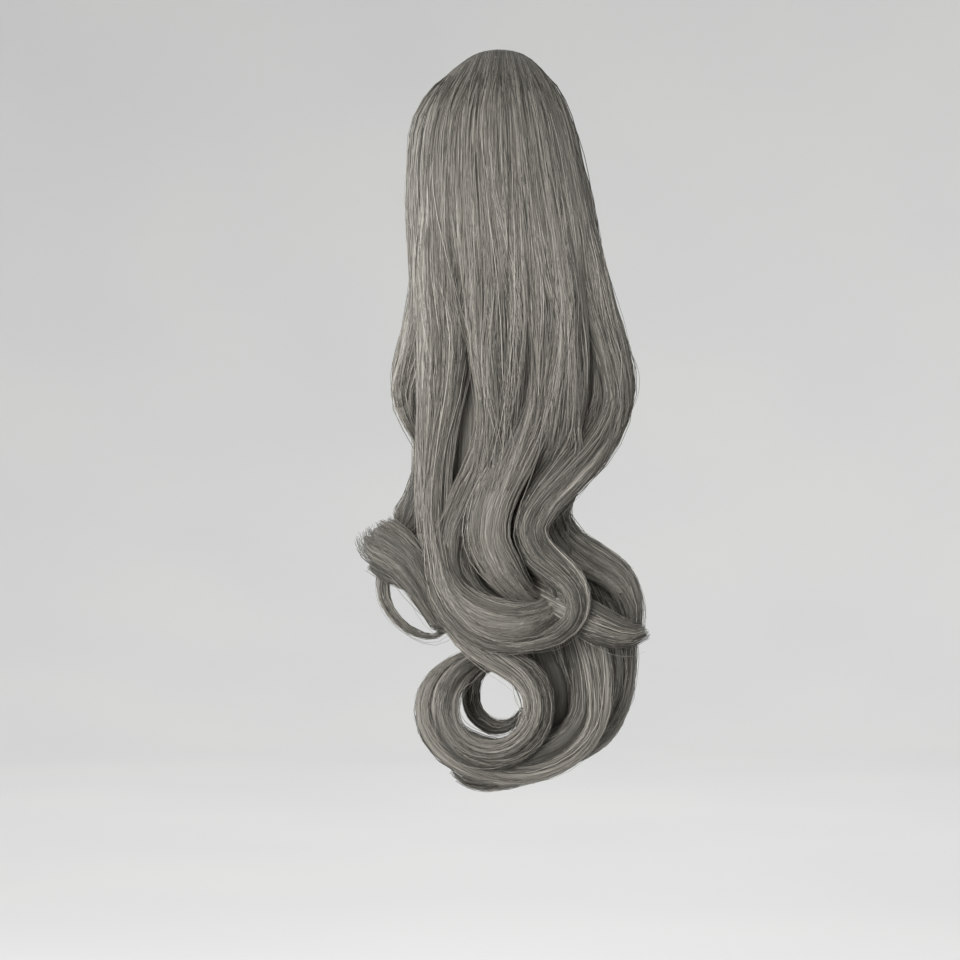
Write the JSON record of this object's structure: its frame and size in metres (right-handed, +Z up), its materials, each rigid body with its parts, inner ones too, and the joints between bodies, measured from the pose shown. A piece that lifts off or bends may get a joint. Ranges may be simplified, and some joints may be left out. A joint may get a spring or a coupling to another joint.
{
  "type": "clip-on ponytail",
  "caption": "Clip-on ponytail: long grey wavy synthetic hair with swirled ends, fixed to a hidden claw clip that closes round the wearer's own gathered hair.",
  "frame": {"origin": "middle of the claw clip's mouth, in the plane of the tips of its teeth, where it closes round the wearer's gathered hair", "axes": "+Z up as worn, +Y towards the wearer's head, the hair falls on the -Y side, +X to the right seen from behind the wearer"},
  "size_m": [0.1937, 0.0934, 0.4997],
  "materials": {
    "hair": "satin synthetic fibre, ash grey with darker and pinkish strands",
    "claw_clip": "smooth dark grey plastic"
  },
  "bodies": {
    "root": {"hair": "hair", "claw_clip": "claw_clip"}
  },
  "joints": []
}
